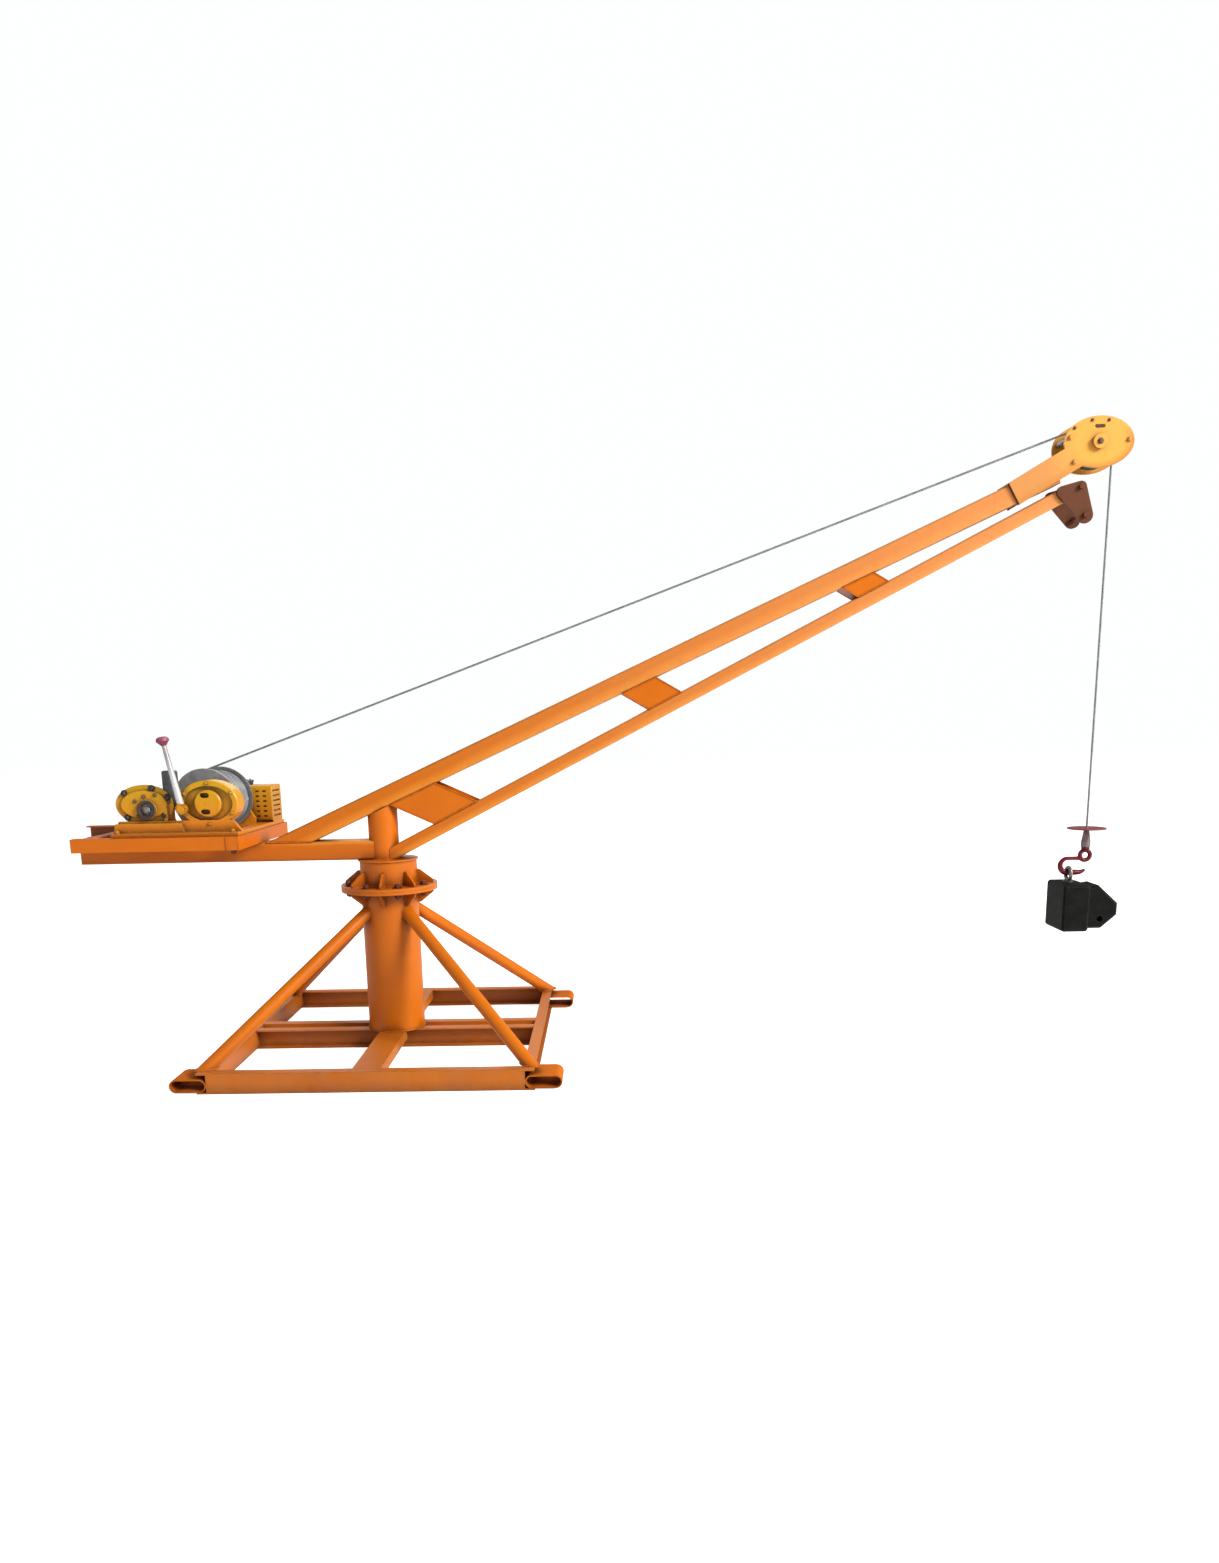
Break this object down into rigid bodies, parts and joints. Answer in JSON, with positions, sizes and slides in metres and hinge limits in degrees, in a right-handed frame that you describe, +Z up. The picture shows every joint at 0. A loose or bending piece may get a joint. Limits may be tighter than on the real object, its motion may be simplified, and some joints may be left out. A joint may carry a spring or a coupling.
{
  "type": "slewing mini construction crane",
  "caption": "Small slewing construction crane: braced column on a square channel base, turning arm with a rear winch, head sheave, hoist rope, hook and test weight.",
  "frame": {"origin": "ground level under the centre line of the column, on the slewing axis", "axes": "+Z up along the slewing axis, +X towards the boom's head at rest, -Y is the side with the brake lever"},
  "size_m": [4.0906, 1.2, 2.2589],
  "materials": {
    "orange_paint": "welded steel, orange enamel brushed and sprayed on",
    "cheek_paint": "yellow orange enamel on cut plate",
    "yellow_paint": "amber yellow enamel over cast iron",
    "dark_steel": "dark grey cast housing",
    "bright_steel": "bare turned steel",
    "wire_rope": "greased galvanised wire rope",
    "brown_steel": "dark brown primer, weathered",
    "red_paint": "dark red forged steel",
    "disc_paint": "worn red paint on thin sheet",
    "knob_plastic": "dusty red moulded knob",
    "black_iron": "black painted cast iron"
  },
  "bodies": {
    "base": {"left_rail": "orange_paint", "right_rail": "orange_paint", "front_rail": "orange_paint", "back_rail": "orange_paint", "middle_beam_front": "orange_paint", "middle_beam_back": "orange_paint", "base_ties": "orange_paint", "corner_sleeves": "orange_paint", "column_pipe": "orange_paint", "lower_flange": "orange_paint", "upper_flange": "orange_paint", "lower_gussets": "orange_paint", "upper_gussets": "orange_paint", "column_braces": "orange_paint", "upper_pipe": "orange_paint", "bearing_ring": "bright_steel", "column_seat_plates": "orange_paint"},
    "arm": {"bearing_frame": "yellow_paint", "boom_battens": "orange_paint", "bottom_chord": "orange_paint", "brake_cover": "yellow_paint", "cheek_back": "cheek_paint", "cheek_front": "cheek_paint", "cheek_spacers": "bright_steel", "clutch_block": "dark_steel", "gear_case": "yellow_paint", "gusset_plates": "orange_paint", "lever_pin": "bright_steel", "motor_body": "dark_steel", "motor_cowl": "yellow_paint", "motor_foot": "dark_steel", "platform_beam_back": "orange_paint", "platform_beam_front": "orange_paint", "platform_cross_beams": "orange_paint", "platform_end_beam": "orange_paint", "post": "orange_paint", "rope_fall": "wire_rope", "rope_lead": "wire_rope", "rope_socket": "wire_rope", "rope_wrap": "wire_rope", "sheave_axle": "bright_steel", "slew_disc": "orange_paint", "slew_pin": "bright_steel", "spine_beam": "orange_paint", "stop_disc": "disc_paint", "terminal_box": "dark_steel", "tip_bracket": "brown_steel", "top_chord": "orange_paint", "winch_bed": "yellow_paint"},
    "drum": {"winch_drum": "bright_steel", "rope_winding": "wire_rope"},
    "sheave": {"head_sheave": "bright_steel"},
    "lever": {"brake_lever": "bright_steel", "lever_knob": "knob_plastic"},
    "hook": {"hook": "red_paint", "swivel_collar": "red_paint", "weight_eye": "black_iron", "weight_block": "black_iron", "weight_nose": "black_iron"}
  },
  "joints": [
    {"name": "slew", "type": "hinge", "parent": "base", "child": "arm", "pos_m": [0, 0, 0.738], "axis": [0, 0, 1], "continuous": true},
    {"name": "drum_turn", "type": "hinge", "parent": "arm", "child": "drum", "pos_m": [-0.66, 0, 0.985], "axis": [0, 1, 0], "continuous": true},
    {"name": "sheave_turn", "type": "hinge", "parent": "arm", "child": "sheave", "pos_m": [2.607, 0, 2.17294], "axis": [0, 1, 0], "continuous": true},
    {"name": "brake_lever_turn", "type": "hinge", "parent": "arm", "child": "lever", "pos_m": [-0.687, -0.256, 0.966], "axis": [0, 1, 0], "range_deg": [-25, 25]},
    {"name": "hook_swivel", "type": "hinge", "parent": "arm", "child": "hook", "pos_m": [2.679, 0, 0.736], "axis": [0, 0, 1], "continuous": true}
  ]
}
